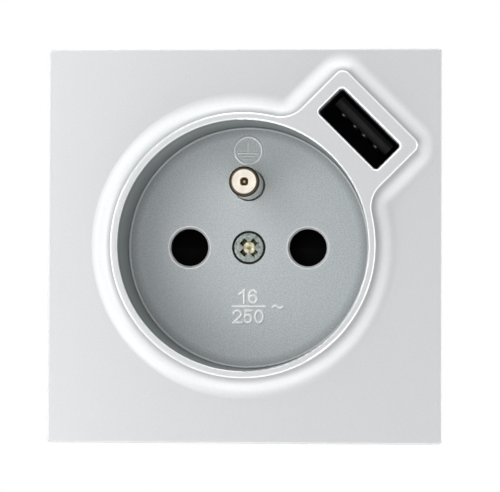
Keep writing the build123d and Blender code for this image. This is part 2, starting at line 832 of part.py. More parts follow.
os.makedirs("parts", exist_ok=True)
nodes = {
    "front_cover": make_front_cover(),
    "cover_screw": make_cover_screw(),
    "screw_insert": make_screw_insert(),
    "earth_pin": make_earth_pin(),
    "mounting_strap": make_mounting_strap(),
    "strap_screws": make_strap_screws(),
    "socket_base": make_socket_base(),
    "shutter": make_shutter(),
    "shutter_spring": make_shutter_spring(),
    "line_contact": make_contact(-contact_x),
    "neutral_contact": make_contact(contact_x),
    "earth_bar": make_earth_bar(),
    "line_terminal": make_terminal(-contact_x),
    "neutral_terminal": make_terminal(contact_x),
    "earth_terminal": make_terminal(0),
    "terminal_screws": make_terminal_screws(),
    "usb_shell": make_usb_shell(),
    "usb_insulator": make_usb_insulator(),
    "usb_contacts": make_usb_contacts(),
    "usb_board": make_usb_board(),
    "contact_retainer": make_contact_retainer(),
    "rear_housing": make_rear_housing(),
    "housing_screws": make_housing_screws(),
    "charger_board": make_charger_board(),
    "transformer_core": make_transformer_core(),
    "transformer_winding": make_transformer_winding(),
    "input_capacitor": can(input_capacitor_diameter, input_capacitor_length, *input_capacitor_place),
    "output_capacitor": can(output_capacitor_diameter, output_capacitor_length, *output_capacitor_place),
    "suppression_capacitor": chip(suppressor_size, *suppressor_place),
    "rectifier": chip(rectifier_size, *rectifier_place),
    "controller": chip(controller_size, *controller_place),
    "fuse": can(fuse_diameter, fuse_length, *fuse_place),
}
for name, shape in nodes.items():
    export_step(shape, f"parts/{name}.step")
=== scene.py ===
import json
import math

import bpy
import numpy as np
from mathutils import Matrix, Vector


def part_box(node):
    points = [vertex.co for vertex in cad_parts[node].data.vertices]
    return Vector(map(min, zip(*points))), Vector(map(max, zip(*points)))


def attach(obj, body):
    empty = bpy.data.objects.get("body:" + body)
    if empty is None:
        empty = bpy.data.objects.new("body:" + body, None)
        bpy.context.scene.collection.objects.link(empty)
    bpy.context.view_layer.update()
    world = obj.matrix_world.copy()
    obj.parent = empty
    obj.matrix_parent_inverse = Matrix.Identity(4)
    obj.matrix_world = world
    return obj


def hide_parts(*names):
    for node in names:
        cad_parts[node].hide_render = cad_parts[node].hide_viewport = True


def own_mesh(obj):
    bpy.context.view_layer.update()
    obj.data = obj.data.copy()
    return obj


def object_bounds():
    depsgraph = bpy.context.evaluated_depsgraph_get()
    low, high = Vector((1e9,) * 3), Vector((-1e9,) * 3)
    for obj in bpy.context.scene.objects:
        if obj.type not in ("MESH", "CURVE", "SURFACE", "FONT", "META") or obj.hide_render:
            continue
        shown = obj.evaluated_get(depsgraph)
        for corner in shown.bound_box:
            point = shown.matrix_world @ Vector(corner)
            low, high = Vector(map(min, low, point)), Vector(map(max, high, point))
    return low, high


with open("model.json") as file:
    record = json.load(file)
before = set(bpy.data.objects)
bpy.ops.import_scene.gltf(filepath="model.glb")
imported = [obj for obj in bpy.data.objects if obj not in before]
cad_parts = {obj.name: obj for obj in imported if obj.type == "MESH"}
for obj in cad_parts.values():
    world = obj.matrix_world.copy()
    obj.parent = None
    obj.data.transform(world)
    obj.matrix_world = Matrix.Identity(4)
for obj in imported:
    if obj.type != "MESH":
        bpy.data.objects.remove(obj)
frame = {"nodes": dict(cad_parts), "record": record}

cadBox = [list(corner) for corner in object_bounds()]  # the solids' own box, before anything is added
mm = 0.001
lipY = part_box("front_cover")[0].y  # front of the collar
wellDepth = 15.0 * mm
floorY = lipY + wellDepth  # the flat face that carries the markings
print("frame loaded:", len(frame["nodes"]), "pieces")


# camera: in front of the socket, a little to its right and below its middle, aimed at it
cameraView = dict(
    place=(27.81, -409.09, -11.12),  # mm
    yawDeg=3.828,
    pitchDeg=1.576,
    rollDeg=0.199,
    lensMm=186.2,
    sensorMm=36.0,
    clip=(0.01, 20.0),  # m
)


def addCamera(v):
    data = bpy.data.cameras.new("photoCamera")
    data.lens = v["lensMm"]
    data.sensor_width = v["sensorMm"]
    data.clip_start, data.clip_end = v["clip"]
    camera = bpy.data.objects.new("photoCamera", data)
    bpy.context.scene.collection.objects.link(camera)
    turn = Matrix.Rotation(math.radians(v["yawDeg"]), 4, "Z")
    turn = turn @ Matrix.Rotation(math.radians(90 + v["pitchDeg"]), 4, "X")  # 90 looks level
    turn = turn @ Matrix.Rotation(math.radians(v["rollDeg"]), 4, "Z")
    camera.matrix_world = Matrix.Translation([c * mm for c in v["place"]]) @ turn
    bpy.context.scene.camera = camera


addCamera(cameraView)
print("camera placed")


# meshes from whole arrays
def gridFaces(rows, columns, closedRows=False, closedColumns=False):
    # quads between neighbouring points of a grid, wrapping round where it closes
    r = np.arange(rows if closedRows else rows - 1)[:, None]
    c = np.arange(columns if closedColumns else columns - 1)[None, :]
    rNext, cNext = (r + 1) % rows, (c + 1) % columns
    quads = [r * columns + c, r * columns + cNext, rNext * columns + cNext, rNext * columns + c]
    return np.stack(np.broadcast_arrays(*quads), axis=-1).reshape(-1, 4)


def addPiece(name, points, faces, smooth=True):
    mesh = bpy.data.meshes.new(name)
    mesh.from_pydata(points.reshape(-1, 3).tolist(), [], faces)
    mesh.validate()
    if smooth:
        mesh.shade_smooth()
    piece = bpy.data.objects.new(name, mesh)
    bpy.context.scene.collection.objects.link(piece)
    return piece


# shader nodes
cloudSpan = (0.3, 0.7)  # where most values of a noise cloud lie
wholeSpan = (0.0, 1.0)
deepest = 100.0  # mm, past any depth on the part


def newFinish(name):
    material = bpy.data.materials.new(name)
    material.use_nodes = True
    tree = material.node_tree
    tree.nodes.clear()
    output = tree.nodes.new("ShaderNodeOutputMaterial")
    shader = tree.nodes.new("ShaderNodeBsdfPrincipled")
    tree.links.new(shader.outputs["BSDF"], output.inputs["Surface"])
    place = tree.nodes.new("ShaderNodeTexCoord")
    return material, tree, shader, place.outputs["Object"]


def wire(tree, shader, sources):
    for socket, source in sources.items():
        tree.links.new(source, shader.inputs[socket])


def addNoise(tree, place, scale, detail=2.0, roughness=0.5, stretch=None):
    # a cloud of the given number of features per metre, drawn out along an axis where stretch says so
    if stretch is not None:
        mapping = tree.nodes.new("ShaderNodeMapping")
        mapping.inputs["Scale"].default_value = stretch
        tree.links.new(place, mapping.inputs["Vector"])
        place = mapping.outputs["Vector"]
    noise = tree.nodes.new("ShaderNodeTexNoise")
    noise.inputs["Scale"].default_value = scale
    noise.inputs["Detail"].default_value = detail
    noise.inputs["Roughness"].default_value = roughness
    tree.links.new(place, noise.inputs["Vector"])
    return noise.outputs["Fac"]


def addRange(tree, value, low, high, span=cloudSpan):
    # low to high while the value runs through the span
    spread = tree.nodes.new("ShaderNodeMapRange")
    spread.inputs["From Min"].default_value = span[0]
    spread.inputs["From Max"].default_value = span[1]
    spread.inputs["To Min"].default_value = low
    spread.inputs["To Max"].default_value = high
    tree.links.new(value, spread.inputs["Value"])
    return spread.outputs["Result"]


def addRise(tree, value, span):
    # 0 before the span and 1 after it
    return addRange(tree, value, 0.0, 1.0, span)


def addFall(tree, value, span):
    # 1 before the span and 0 after it
    return addRange(tree, value, 1.0, 0.0, span)


def addShare(tree, share, most):
    # a share from 0 to 1 turned into 0 to the most
    return addRange(tree, share, 0.0, most, wholeSpan)


def addMath(tree, operation, first, second):
    step = tree.nodes.new("ShaderNodeMath")
    step.operation = operation
    tree.links.new(first, step.inputs[0])
    tree.links.new(second, step.inputs[1])
    return step.outputs[0]


def addBand(tree, value, rise, fall):
    # 1 between two soft steps, each given by its start and its end
    return addMath(tree, "SUBTRACT", addRise(tree, value, rise), addRise(tree, value, fall))


def addRadius(tree, place, centre=(0.0, 0.0), kept=(1, 0, 1)):
    # distance in mm from an axis: length of the place with the axis's own direction taken out
    flat = tree.nodes.new("ShaderNodeMapping")
    flat.inputs["Location"].default_value = (-centre[0], 0.0, -centre[1])
    flat.inputs["Scale"].default_value = [k / mm for k in kept]
    tree.links.new(place, flat.inputs["Vector"])
    distance = tree.nodes.new("ShaderNodeVectorMath")
    distance.operation = "LENGTH"
    tree.links.new(flat.outputs["Vector"], distance.inputs[0])
    return distance.outputs["Value"]


def addDepth(tree, place, front):
    # distance in mm behind a plane across the depth
    split = tree.nodes.new("ShaderNodeSeparateXYZ")
    tree.links.new(place, split.inputs["Vector"])
    return addRange(tree, split.outputs["Y"], 0.0, deepest, (front, front + deepest * mm))


def addReach(tree, place, direction):
    # distance in mm from the origin along a direction
    reach = tree.nodes.new("ShaderNodeVectorMath")
    reach.operation = "DOT_PRODUCT"
    reach.inputs[1].default_value = Vector(direction).normalized() / mm
    tree.links.new(place, reach.inputs[0])
    return reach.outputs["Value"]


def addBump(tree, value, depth):
    bump = tree.nodes.new("ShaderNodeBump")
    bump.inputs["Distance"].default_value = depth
    tree.links.new(value, bump.inputs["Height"])
    return bump.outputs["Normal"]


def tinted(colour, share):
    return (*(min(1.0, c * share) for c in colour), 1.0)


def addSpread(tree, value, colour, darker, lighter=None):
    # a colour that runs a little darker and lighter with a cloud's value
    ramp = tree.nodes.new("ShaderNodeValToRGB")
    low, high = ramp.color_ramp.elements
    low.position, high.position = cloudSpan
    low.color = tinted(colour, 1 - darker)
    high.color = tinted(colour, 1 + (darker if lighter is None else lighter))
    tree.links.new(value, ramp.inputs["Fac"])
    return ramp.outputs["Color"]


def addMix(tree, share, first, second):
    mix = tree.nodes.new("ShaderNodeMix")
    mix.data_type = "RGBA"
    sockets = {s.identifier: s for s in mix.inputs}
    tree.links.new(share, sockets["Factor_Float"])
    tree.links.new(first, sockets["A_Color"])
    tree.links.new(second, sockets["B_Color"])
    return next(s for s in mix.outputs if s.identifier == "Result_Color")


# silver paint: fine bright flakes in a cool grey base with a satin sheen, painted highlight in the coves and
# along the raised edges, painted shade on the steep part of the coves and on the well's wall, grained on its
# floor with painted shade towards the wall, painted highlight lines in the floor's corner and round the
# entries' mouths, and painted shade, near black, inside the holes
silverPaint = dict(
    colour=(0.672, 0.684, 0.698),
    # the lighter cove and edge colours are painted highlight; the steep, wall, floor rim and hole colours are
    # painted shade
    coveHighlightColour=(0.77, 0.783, 0.796),
    steepShadeColour=(0.515, 0.525, 0.535),
    edgeHighlightColour=(0.95, 0.955, 0.96),
    wallShadeColour=(0.225, 0.248, 0.255),
    floorColour=(0.80, 0.855, 0.87),
    floorRimShadeColour=(0.54, 0.585, 0.60),
    holeShadeColour=(0.02, 0.02, 0.021),
    flakeSpread=0.03,
    wellFlakeSpread=0.14,
    flakesPerMetre=4600.0,
    flakeDetail=1.5,
    metallic=(0.35, 0.05),  # outside and in the well
    edgeMetallic=0.45,  # more of it along the edges
    roughness=(0.31, 0.37),
    coveRoughness=0.16,  # more of it in the coves
    edgeStart=(0.02, 0.10),  # mm behind the lip, down to holeStart
    edgeEnd=(0.30, 0.45),
    # the steep band below carries painted shade on the steep part of the coves
    steepStart=(0.36, 0.50),
    steepEnd=(1.70, 2.90),
    softStart=(0.60, 1.20),
    coveStart=(1.20, 2.20),
    coveEnd=(3.40, 3.68),
    # from wallStart the well's wall takes its painted shade
    wallStart=(0.28, 0.40),
    cornerStart=(14.55, 14.65),
    floorStart=(14.93, 14.99),
    mouthStart=(15.02, 15.06),
    # from holeStart, painted shade, near black, inside the holes
    holeStart=(15.30, 15.40),
    wellRim=(19.52, 19.64),  # mm from the axis, where the well's tones end
    cornerRise=(18.90, 18.96),  # painted highlight line in the corner of the floor
    cornerFall=(19.13, 19.19),
    cornerShare=0.6,
    floorRimShade=(17.5, 18.75),  # where the floor darkens towards the wall, painted shade
    entryX=9.5,  # mm to either side of the axis
    mouthRise=(2.90, 3.05),  # mm from the axis of an entry, painted highlight ring at its mouth
    mouthFall=(3.36, 3.50),
    skinPerMetre=5200.0,
    skinDepth=0.0015 * mm,
)


def makeSilverPaint(name, v):
    material, tree, shader, place = newFinish(name)
    depth = addDepth(tree, place, lipY)
    radius = addRadius(tree, place)
    flakes = addNoise(tree, place, v["flakesPerMetre"], v["flakeDetail"])
    skin = addNoise(tree, place, v["skinPerMetre"])
    near = addFall(tree, radius, v["wellRim"])

    def inside(start):
        return addMath(tree, "MULTIPLY", near, addRise(tree, depth, v[start]))

    def paint(tone):
        return addSpread(tree, flakes, v[tone], v["flakeSpread"])

    def wellPaint(tone):
        return addSpread(tree, flakes, v[tone], v["wellFlakeSpread"])

    edge = addBand(tree, depth, v["edgeStart"], v["edgeEnd"])
    steep = addBand(tree, depth, v["steepStart"], v["steepEnd"])
    soft = addBand(tree, depth, v["softStart"], v["coveEnd"])
    cove = addBand(tree, depth, v["coveStart"], v["coveEnd"])
    inWell = inside("wallStart")
    corner = addShare(tree, addBand(tree, radius, v["cornerRise"], v["cornerFall"]), v["cornerShare"])
    corner = addMath(tree, "MULTIPLY", corner, inside("cornerStart"))
    entries = [addRadius(tree, place, (x, 0.0)) for x in (-v["entryX"], v["entryX"])]
    rings = [addBand(tree, entry, v["mouthRise"], v["mouthFall"]) for entry in entries]
    mouth = addMath(tree, "MULTIPLY", addMath(tree, "MAXIMUM", *rings), inside("floorStart"))
    flatMouth = addMath(tree, "SUBTRACT", mouth, inside("mouthStart"))
    floorRimShade = addRise(tree, radius, v["floorRimShade"])
    # painted highlight in the coves, along the edges, on the floor's corner line and round the mouths;
    # painted shade on the steep part, the wall, the floor's rim and in the holes
    layers = [  # each over the ones before it
        (cove, paint("coveHighlightColour")),
        (steep, paint("steepShadeColour")),
        (edge, paint("edgeHighlightColour")),
        (inWell, wellPaint("wallShadeColour")),
        (inside("floorStart"), addMix(tree, floorRimShade, wellPaint("floorColour"), wellPaint("floorRimShadeColour"))),
        (addMath(tree, "MAXIMUM", corner, mouth), paint("edgeHighlightColour")),
        (inside("holeStart"), paint("holeShadeColour")),
    ]
    colour = paint("colour")
    for share, tone in layers:
        colour = addMix(tree, share, colour, tone)
    metallic = addRange(tree, inWell, *v["metallic"], wholeSpan)
    brighter = addShare(tree, addMath(tree, "MAXIMUM", edge, flatMouth), v["edgeMetallic"])
    roughness = addRange(tree, flakes, *v["roughness"])
    wire(tree, shader, {
        "Base Color": colour,
        "Metallic": addMath(tree, "ADD", metallic, brighter),
        "Roughness": addMath(tree, "ADD", roughness, addShare(tree, soft, v["coveRoughness"])),
        "Normal": addBump(tree, skin, v["skinDepth"]),
    })
    return material


# the same paint on the raised markings, lighter as a painted highlight
highlightedMarkPaint = dict(
    colour=(0.92, 0.94, 0.95),
    flakeSpread=0.05,
    flakesPerMetre=4600.0,
    flakeDetail=1.5,
    roughness=(0.30, 0.38),
    metallic=0.36,
)


def makeMarkPaint(name, v):
    material, tree, shader, place = newFinish(name)
    flakes = addNoise(tree, place, v["flakesPerMetre"], v["flakeDetail"])
    wire(tree, shader, {
        "Base Color": addSpread(tree, flakes, v["colour"], v["flakeSpread"]),
        "Roughness": addRange(tree, flakes, *v["roughness"]),
    })
    shader.inputs["Metallic"].default_value = v["metallic"]
    return material


# moulded plastics: faint mottling, eroded skin with a fine bump
mouldedPlastics = {
    "base_plastic": dict(colour=(0.78, 0.78, 0.755), roughness=(0.42, 0.55)),
    "retainer_plastic": dict(colour=(0.58, 0.59, 0.59), roughness=(0.42, 0.56)),
    "housing_plastic": dict(colour=(0.74, 0.74, 0.715), roughness=(0.40, 0.54)),
    "shutter_black": dict(colour=(0.003, 0.003, 0.003), roughness=(0.65, 0.8), specular=0.04),
    "suppressor_box": dict(colour=(0.74, 0.66, 0.16), roughness=(0.35, 0.5)),
    "chip_black": dict(colour=(0.02, 0.02, 0.021), roughness=(0.5, 0.65)),
    "fuse_body": dict(colour=(0.30, 0.16, 0.09), roughness=(0.4, 0.55)),
    "capacitor_sleeve": dict(colour=(0.025, 0.025, 0.045), roughness=(0.3, 0.42)),
    "winding_tape": dict(colour=(0.78, 0.58, 0.07), roughness=(0.28, 0.4)),
}
plasticSkin = dict(
    mottlePerMetre=220.0,
    mottleDetail=3.0,
    mottleSpread=0.03,
    skinPerMetre=3400.0,
    skinDepth=0.006 * mm,
    specular=0.5,  # where a plastic has none of its own
)


def makePlastic(name, v, s):
    material, tree, shader, place = newFinish(name)
    mottle = addNoise(tree, place, s["mottlePerMetre"], s["mottleDetail"])
    skin = addNoise(tree, place, s["skinPerMetre"])
    wire(tree, shader, {
        "Base Color": addSpread(tree, mottle, v["colour"], s["mottleSpread"]),
        "Roughness": addRange(tree, skin, *v["roughness"]),
        "Normal": addBump(tree, skin, s["skinDepth"]),
    })
    shader.inputs["Specular IOR Level"].default_value = v.get("specular", s["specular"])
    return material


# metals: plating mottle and fine tool marks, their depth in mm, drawn out along one axis
platedMetals = {
    "zinc_steel": dict(colour=(0.48, 0.50, 0.44), roughness=(0.24, 0.38), marks=(1, 1, 1), depth=0.004),
    "brass": dict(colour=(0.74, 0.55, 0.24), roughness=(0.24, 0.36), marks=(1, 4, 1), depth=0.003),
    "contact_bronze": dict(colour=(0.70, 0.47, 0.27), roughness=(0.26, 0.4), marks=(1, 1, 5), depth=0.003),
    "strap_steel": dict(colour=(0.62, 0.635, 0.65), roughness=(0.30, 0.46), marks=(0.15, 1, 1), depth=0.004),
    "spring_steel": dict(colour=(0.52, 0.52, 0.53), roughness=(0.25, 0.38), marks=(1, 1, 1), depth=0.002),
    "port_gold": dict(colour=(0.13, 0.126, 0.118), roughness=(0.3, 0.4), marks=(1, 1, 1), depth=0.001),
}
metalGrain = dict(mottlePerMetre=700.0, mottleDetail=3.0, mottleSpread=0.07, marksPerMetre=5200.0)


def makeMetal(name, v, g):
    material, tree, shader, place = newFinish(name)
    mottle = addNoise(tree, place, g["mottlePerMetre"], g["mottleDetail"])
    marks = addNoise(tree, place, g["marksPerMetre"], stretch=v["marks"])
    wire(tree, shader, {
        "Base Color": addSpread(tree, mottle, v["colour"], g["mottleSpread"]),
        "Roughness": addRange(tree, mottle, *v["roughness"]),
        "Normal": addBump(tree, marks, v["depth"] * mm),
    })
    shader.inputs["Metallic"].default_value = 1.0
    return material


# plated pin: cream tip, painted dark reflection on the rim round it, painted shade in the punched mark and a
# duller shaft
pinPlating = dict(
    axis=(0.0, 10.0),  # mm
    tipColour=(0.86, 0.80, 0.70),
    rimReflectionColour=(0.055, 0.043, 0.028),
    markShadeColour=(0.14, 0.10, 0.062),
    markCentreColour=(0.50, 0.41, 0.30),
    shaftColour=(0.60, 0.585, 0.54),
    rimRise=(1.82, 1.96),  # mm from the pin's axis
    markFall=(0.58, 0.68),
    markCentreFall=(0.14, 0.30),
    markStart=(0.04, 0.10),  # mm behind the tip
    shaftStart=(0.45, 0.65),
    mottlePerMetre=700.0,
    mottleDetail=3.0,
    mottleSpread=0.06,
    roughness=(0.16, 0.26),
    marksPerMetre=5200.0,
    marksStretch=(1, 6, 1),
    marksDepth=0.001 * mm,
)


def makePinPlating(name, v):
    material, tree, shader, place = newFinish(name)
    depth = addDepth(tree, place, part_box("earth_pin")[0].y)
    radius = addRadius(tree, place, v["axis"])
    mottle = addNoise(tree, place, v["mottlePerMetre"], v["mottleDetail"])
    marks = addNoise(tree, place, v["marksPerMetre"], stretch=v["marksStretch"])

    def tone(key):
        return addSpread(tree, mottle, v[key], v["mottleSpread"])

    # painted shade inside the punched mark
    inMark = addFall(tree, radius, v["markFall"])
    inMark = addMath(tree, "MULTIPLY", inMark, addRise(tree, depth, v["markStart"]))
    markCentre = addFall(tree, radius, v["markCentreFall"])
    markTone = addMix(tree, markCentre, tone("markShadeColour"), tone("markCentreColour"))
    # painted dark reflection on the rim round the tip
    colour = addMix(tree, addRise(tree, radius, v["rimRise"]), tone("tipColour"), tone("rimReflectionColour"))
    colour = addMix(tree, addRise(tree, depth, v["shaftStart"]), colour, tone("shaftColour"))
    colour = addMix(tree, inMark, colour, markTone)
    wire(tree, shader, {
        "Base Color": colour,
        "Roughness": addRange(tree, mottle, *v["roughness"]),
        "Normal": addBump(tree, marks, v["marksDepth"]),
    })
    shader.inputs["Metallic"].default_value = 1.0
    return material


# cover screw: blotched zinc on the head, painted shade in the arms of the cross and a cream centre
screwPlating = dict(
    headColour=(0.25, 0.282, 0.262),
    armShadeColour=(0.05, 0.056, 0.032),
    centreColour=(0.66, 0.635, 0.47),
    coreColour=(0.22, 0.20, 0.115),
    armStart=(0.10, 0.22),  # mm behind the head's face
    centreFall=(0.85, 1.02),  # mm from the axis
    coreFall=(0.20, 0.55),
    headFall=(2.36, 2.44),
    blotchPerMetre=2400.0,
    blotchDetail=3.0,
    blotchSpread=0.45,
    roughness=(0.24, 0.40),
    dentDepth=0.01 * mm,
)


def makeScrewPlating(name, v):
    material, tree, shader, place = newFinish(name)
    depth = addDepth(tree, place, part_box("cover_screw")[0].y)
    radius = addRadius(tree, place)
    blotch = addNoise(tree, place, v["blotchPerMetre"], v["blotchDetail"])

    def tone(key):
        return addSpread(tree, blotch, v[key], v["blotchSpread"])

    sunk = addRise(tree, depth, v["armStart"])
    inArms = addMath(tree, "MULTIPLY", sunk, addFall(tree, radius, v["headFall"]))
    inCentre = addMath(tree, "MULTIPLY", sunk, addFall(tree, radius, v["centreFall"]))
    core = addFall(tree, radius, v["coreFall"])
    # painted shade in the arms of the cross
    colour = addMix(tree, inArms, tone("headColour"), tone("armShadeColour"))
    colour = addMix(tree, inCentre, colour, addMix(tree, core, tone("centreColour"), tone("coreColour")))
    wire(tree, shader, {
        "Base Color": colour,
        "Roughness": addRange(tree, blotch, *v["roughness"]),
        "Normal": addBump(tree, blotch, v["dentDepth"]),
    })
    shader.inputs["Metallic"].default_value = 1.0
    return material


# black plated shell of the port
blackShell = dict(
    colour=(0.022, 0.022, 0.024),
    grainPerMetre=2600.0,
    grainSpread=(0.2, 0.25),  # darker and lighter
    roughness=(0.26, 0.4),
    grainDepth=0.003 * mm,
    metallic=0.6,
)


def makeBlackShell(name, v):
    material, tree, shader, place = newFinish(name)
    grain = addNoise(tree, place, v["grainPerMetre"])
    wire(tree, shader, {
        "Base Color": addSpread(tree, grain, v["colour"], *v["grainSpread"]),
        "Roughness": addRange(tree, grain, *v["roughness"]),
        "Normal": addBump(tree, grain, v["grainDepth"]),
    })
    shader.inputs["Metallic"].default_value = v["metallic"]
    return material


# black tongue of the port, with a painted highlight along the middle of its end
portTongue = dict(
    colour=(0.0035, 0.0035, 0.0037),
    tongueHighlightColour=(0.026, 0.026, 0.027),
    across=(1.0, 0.0, 1.0),  # direction across the port
    tongueHighlightRise=(25.56, 26.11),  # mm along that direction
    tongueHighlightFall=(26.58, 26.86),
    mottlePerMetre=1500.0,
    mottleSpread=0.15,
    roughness=(0.5, 0.65),
    specular=0.06,
    skinDepth=0.004 * mm,
)


def makePortTongue(name, v):
    material, tree, shader, place = newFinish(name)
    mottle = addNoise(tree, place, v["mottlePerMetre"])

    def tone(key):
        return addSpread(tree, mottle, v[key], v["mottleSpread"])

    # painted highlight along the middle of the tongue's end
    tongueHighlight = addBand(tree, addReach(tree, place, v["across"]), v["tongueHighlightRise"], v["tongueHighlightFall"])
    wire(tree, shader, {
        "Base Color": addMix(tree, tongueHighlight, tone("colour"), tone("tongueHighlightColour")),
        "Roughness": addRange(tree, mottle, *v["roughness"]),
        "Normal": addBump(tree, mottle, v["skinDepth"]),
    })
    shader.inputs["Specular IOR Level"].default_value = v["specular"]
    return material


# circuit board: green mask over a faint weave
boardMask = dict(
    colour=(0.02, 0.13, 0.055),
    weavePerMetre=900.0,
    weaveShares=(0.9, 1.15),  # of the colour, on its two kinds of squares
    weaveDepth=0.01 * mm,
    roughness=(0.22, 0.32),
)


def makeBoard(name, v):
    material, tree, shader, place = newFinish(name)
    weave = tree.nodes.new("ShaderNodeTexChecker")
    weave.inputs["Scale"].default_value = v["weavePerMetre"]
    for socket, share in zip(("Color1", "Color2"), v["weaveShares"]):
        weave.inputs[socket].default_value = tinted(v["colour"], share)
    tree.links.new(place, weave.inputs["Vector"])
    mottle = addNoise(tree, place, v["weavePerMetre"])
    wire(tree, shader, {
        "Base Color": weave.outputs["Color"],
        "Roughness": addRange(tree, mottle, *v["roughness"]),
        "Normal": addBump(tree, mottle, v["weaveDepth"]),
    })
    return material


# sintered core: dark grey with pores
ferriteCore = dict(
    colour=(0.075, 0.075, 0.08),
    poresPerMetre=1800.0,
    poreDetail=4.0,
    poreEdge=0.65,  # how rough the pores' outlines are
    poreSpread=(0.4, 0.3),  # darker and lighter
    poreDepth=0.02 * mm,
    roughness=(0.55, 0.75),
)


def makeFerrite(name, v):
    material, tree, shader, place = newFinish(name)
    pores = addNoise(tree, place, v["poresPerMetre"], v["poreDetail"], v["poreEdge"])
    wire(tree, shader, {
        "Base Color": addSpread(tree, pores, v["colour"], *v["poreSpread"]),
        "Roughness": addRange(tree, pores, *v["roughness"]),
        "Normal": addBump(tree, pores, v["poreDepth"]),
    })
    return material


def ownName(slot):
    # the slot's name written as one word with inner capitals
    first, *rest = slot.split("_")
    return first + "".join(word.capitalize() for word in rest) + "Finish"


markFinish = makeMarkPaint("highlightedMarkPaint", highlightedMarkPaint)
finishes = {
    "cover_silver": makeSilverPaint("silverPaint", silverPaint),
    "nickel": makePinPlating("pinPlating", pinPlating),
    "port_black_metal": makeBlackShell("blackShell", blackShell),
    "port_black_plastic": makePortTongue("portTongue", portTongue),
    "board_green": makeBoard("boardMask", boardMask),
    "ferrite": makeFerrite("ferriteCore", ferriteCore),
}
finishes.update({n: makePlastic(ownName(n), v, plasticSkin) for n, v in mouldedPlastics.items()})
finishes.update({n: makeMetal(ownName(n), v, metalGrain) for n, v in platedMetals.items()})
# a node with a finish of its own, apart from its slot's other nodes
nodeFinishes = {"cover_screw": makeScrewPlating("screwPlating", screwPlating)}

for part in frame["record"]["subparts"]:
    node = frame["nodes"][part["node"]]
    if not node.material_slots:
        node.data.materials.append(None)
    for slot in node.material_slots:
        slot.material = nodeFinishes.get(part["node"], finishes[part["material_slot"]])
print("finishes made:", len(finishes) + len(nodeFinishes))


# coil spring under the shutter
coilSpring = dict(
    wire=0.4,  # mm
    turns=8,
    stepsPerTurn=28,
    sides=12,
    endGap=0.05,  # mm left above it when the shutter is open
)


def addCoilSpring(v):
    # a round wire carried along a helix: coil radius times cosine and sine of the turn, rising evenly,
    # and round each point the wire's radius times cosine outwards and sine across the run
    low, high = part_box("shutter_spring")
    wireRadius = v["wire"] / 2 * mm
    coilRadius = (high.x - low.x) / 2 - wireRadius
    turn = np.linspace(0, 2 * np.pi * v["turns"], v["turns"] * v["stepsPerTurn"] + 1)
    rise = np.linspace(low.z + wireRadius, high.z - wireRadius, len(turn))
    level = np.zeros_like(turn)
    outwards = np.stack([np.cos(turn), np.sin(turn), level], axis=1)
    axis = np.stack([level, level + (low.y + high.y) / 2, rise], axis=1)
    middle = axis + coilRadius * outwards
    slope = (rise[-1] - rise[0]) / turn[-1]
    along = np.stack([-coilRadius * np.sin(turn), coilRadius * np.cos(turn), level + slope], axis=1)
    along /= np.linalg.norm(along, axis=1)[:, None]
    across = np.cross(along, outwards)
    angle = np.linspace(0, 2 * np.pi, v["sides"], endpoint=False)[None, :, None]
    ring = np.cos(angle) * outwards[:, None] + np.sin(angle) * across[:, None]
    points = middle[:, None] + wireRadius * ring
    faces = gridFaces(len(turn), v["sides"], closedColumns=True)[:, ::-1].tolist()
    firstRing = list(range(v["sides"]))
    lastRing = list(range((len(turn) - 1) * v["sides"], len(turn) * v["sides"]))
    spring = addPiece("coilSpring", points, faces + [firstRing, lastRing[::-1]])
    spring.data.materials.append(finishes["spring_steel"])
    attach(spring, "socket")
    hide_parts("shutter_spring")
    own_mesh(spring)


addCoilSpring(coilSpring)
print("spring coiled")


# raised markings on the floor of the well: rounded beads along strokes
markings = dict(
    strokeWidth=0.56,  # mm
    signWidth=0.47,
    signBarWidth=0.32,
    height=0.13,
    sunk=0.03,
    sampleStep=0.05,
    fewestSteps=4,
    closedGap=1e-6,  # ends nearer than this are joined
    endDeg=(22.5, 45, 67.5, 88),  # steps of a stroke's round end
    beadAcross=(-1.0, -0.86, -0.66, -0.4, 0.0, 0.4, 0.66, 0.86, 1.0),  # shares of the half width
    beadRise=(0.0, 0.40, 0.80, 0.98, 1.0, 0.98, 0.80, 0.40, 0.0),  # shares of the height
)


def arc(centre, radii, startDeg, endDeg, count=40):
    # points of an ellipse between two angles
    angle = np.radians(np.linspace(startDeg, endDeg, count))
    return np.stack([centre[0] + radii[0] * np.cos(angle), centre[1] + radii[1] * np.sin(angle)], axis=1)


def line(*corners):
    return np.array(corners, float)


# strokes of the digits in a box of width 1 and height 1
digitStrokes = {
    "1": [
        line((0.05, 0.70), (0.62, 1.0)),
        line((0.62, 1.0), (0.62, 0.0)),
    ],
    "6": [
        np.concatenate([arc((0.52, 0.62), (0.46, 0.38), 35, 180), line((0.06, 0.30))]),
        arc((0.5, 0.30), (0.44, 0.30), 0, 360),
    ],
    "2": [
        arc((0.5, 0.70), (0.44, 0.30), 165, -28),
        line((0.89, 0.56), (0.06, 0.0)),
        line((0.06, 0.0), (0.96, 0.0)),
    ],
    "5": [
        line((0.90, 1.0), (0.20, 1.0)),
        line((0.20, 1.0), (0.12, 0.52)),
        arc((0.48, 0.33), (0.44, 0.33), 145, -150),
    ],
    "0": [arc((0.5, 0.5), (0.45, 0.5), 0, 360)],
}
